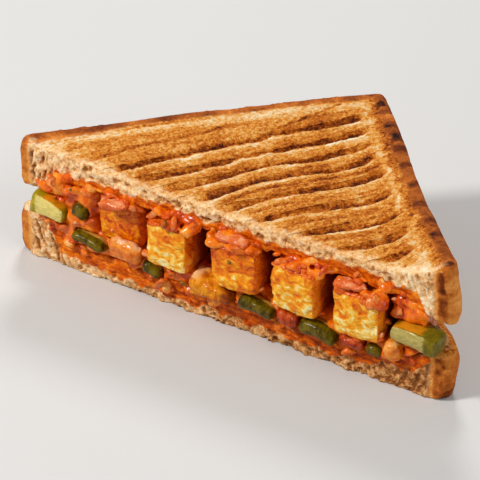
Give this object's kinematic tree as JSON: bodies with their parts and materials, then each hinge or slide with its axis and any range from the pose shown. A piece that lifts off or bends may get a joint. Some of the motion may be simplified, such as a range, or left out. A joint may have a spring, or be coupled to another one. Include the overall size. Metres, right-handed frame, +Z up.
{
  "type": "paneer sandwich half",
  "caption": "Diagonal half of a grilled sandwich with grooved toast, paneer cubes, peppers, onion and tomato in a spiced sauce.",
  "frame": {"origin": "centre of the bounding box at the level of the table", "axes": "+X along the cut, +Y from the cut face towards the square corner of the bread, +Z up through the slices"},
  "size_m": [0.1548, 0.086, 0.0466],
  "materials": {
    "crumb": "matt open crumb with a browned crust",
    "toast": "matt toasted face, dark in the grooves",
    "sauce": "wet thick sauce",
    "paneer": "soft crumbly cheese stained by the sauce",
    "green_pepper": "glossy skin, moist flesh",
    "yellow_pepper": "glossy skin, moist flesh",
    "onion": "moist, translucent, stained by the sauce",
    "tomato": "moist"
  },
  "bodies": {
    "root": {"bread_bottom": "crumb", "bread_top": "toast", "masala": "sauce", "paneer_1": "paneer", "paneer_2": "paneer", "paneer_3": "paneer", "paneer_4": "paneer", "paneer_5": "paneer", "pepper_1": "green_pepper", "pepper_2": "green_pepper", "pepper_3": "green_pepper", "pepper_4": "green_pepper", "pepper_5": "green_pepper", "pepper_6": "green_pepper", "pepper_7": "green_pepper", "pepper_8": "green_pepper", "yellow_pepper_1": "yellow_pepper", "onion_1": "onion", "onion_2": "onion", "onion_3": "onion", "onion_4": "onion", "onion_5": "onion", "tomato_1": "tomato", "tomato_2": "tomato"}
  },
  "joints": []
}
